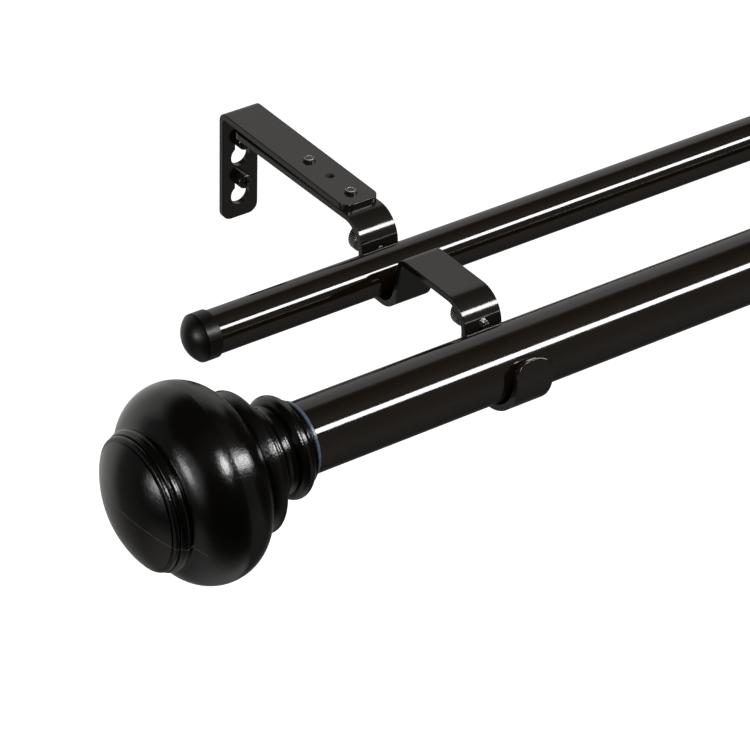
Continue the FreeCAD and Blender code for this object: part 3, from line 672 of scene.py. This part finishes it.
def step_of(value, a, b, low=0.0, high=1.0):
    n = wn("ShaderNodeMapRange", interpolation_type="SMOOTHSTEP")
    n.inputs["From Min"].default_value = min(a, b)
    n.inputs["From Max"].default_value = max(a, b)
    n.inputs["To Min"].default_value = low if a < b else high
    n.inputs["To Max"].default_value = high if a < b else low
    wt.links.new(value, n.inputs["Value"])
    return n.outputs["Result"]


def blend(factor, a, b):
    n = wn("ShaderNodeMix", data_type="RGBA")
    wt.links.new(factor, n.inputs["Factor"])
    for key, v in (("A", a), ("B", b)):
        if isinstance(v, (int, float)):
            n.inputs[key].default_value = (v, v * 0.985, v * 0.96, 1)
        else:
            wt.links.new(v, n.inputs[key])
    return n.outputs["Result"]


sx = sep.outputs["X"]
across = math_node("SQRT", math_node("SUBTRACT", 1.0001, math_node("MULTIPLY", sx, sx)))
tx = math_node("DIVIDE", sx, across)
band_far = band([(-180, .20), (-150, .25), (-120, .16), (-90, .06), (-60, .08), (-42, .34), (-15, .40), (0, .50),
                 (14, .62), (30, .70), (52, .74), (57, .45), (61, .13), (72, .05), (84, .10), (100, .15),
                 (114, .26), (120, .22), (150, .18), (180, .20)])
band_near = band([(-180, .03), (-150, .03), (-125, .07), (-108, .28), (-95, .48), (-80, .34), (-62, .13),
                  (-45, .26), (-28, .66), (-10, .78), (30, .78), (36, .50), (41, .11), (50, .04), (90, .05),
                  (110, .12), (120, .17), (150, .05), (180, .03)])
level = blend(step_of(tx, 0.42, 0.52), band_near, band_far)
back_zone = math_node("MULTIPLY", step_of(ang.outputs[0], -1.2, -0.9), step_of(ang.outputs[0], 0.9, 0.7))
level = blend(math_node("MULTIPLY", back_zone, step_of(sx, -0.42, -0.62)), level, 0.18)
level = blend(step_of(sx, 0.80, 0.86), level, 0.03)
level = blend(step_of(sx, -0.82, -0.90), level, 0.11)
# soft glow on the left, level with the poles
toward = wn("ShaderNodeVectorMath", operation="DOT_PRODUCT")
wt.links.new(coord.outputs["Generated"], toward.inputs[0])
toward.inputs[1].default_value = (-0.9744, -0.0853, 0.2079)
glow = step_of(toward.outputs["Value"], 0.905, 0.996, 0.0, 1.4)
lit = wn("ShaderNodeMix", data_type="RGBA", blend_type="ADD")
lit.inputs["Factor"].default_value = 1.0
wt.links.new(level, lit.inputs["A"])
wt.links.new(glow, lit.inputs["B"])
gloss = wn("ShaderNodeBackground")
wt.links.new(lit.outputs["Result"], gloss.inputs["Color"])
gloss.inputs["Strength"].default_value = 1.0
soft = wn("ShaderNodeBackground")
soft.inputs["Color"].default_value = (1.0, 1.0, 1.0, 1)
soft.inputs["Strength"].default_value = 0.25
plain = wn("ShaderNodeBackground")
plain.inputs["Color"].default_value = (0.95, 0.95, 0.95, 1)
plain.inputs["Strength"].default_value = 1.0
path = wn("ShaderNodeLightPath")
m1 = wn("ShaderNodeMixShader")
wt.links.new(path.outputs["Is Glossy Ray"], m1.inputs[0])
wt.links.new(soft.outputs[0], m1.inputs[1])
wt.links.new(gloss.outputs[0], m1.inputs[2])
m2 = wn("ShaderNodeMixShader")
wt.links.new(path.outputs["Is Camera Ray"], m2.inputs[0])
wt.links.new(m1.outputs[0], m2.inputs[1])
wt.links.new(plain.outputs[0], m2.inputs[2])
wout = wn("ShaderNodeOutputWorld")
wt.links.new(m2.outputs[0], wout.inputs[0])

scene.view_settings.view_transform = "Standard"

# ------------------------------------------------------------------ camera at the photograph's angle
cam = bpy.data.cameras.new("camera")
cam.sensor_fit = "HORIZONTAL"
cam.sensor_width = 36.0
cam.lens = 172.684
cam.clip_start = 0.02
cam.clip_end = 80.0
cam_obj = bpy.data.objects.new("camera", cam)
scene.collection.objects.link(cam_obj)
right = Vector((0.81562328, -0.5780384, 0.02510505)).normalized()
up = Vector((0.30821641, 0.47080184, 0.82664882)).normalized()
fwd = Vector((0.48965427, 0.66649624, -0.56215787)).normalized()
cam_obj.matrix_world = Matrix((
    (right.x, up.x, -fwd.x, -0.900192),
    (right.y, up.y, -fwd.y, -0.956672),
    (right.z, up.z, -fwd.z, 0.683654),
    (0, 0, 0, 1)))
scene.camera = cam_obj
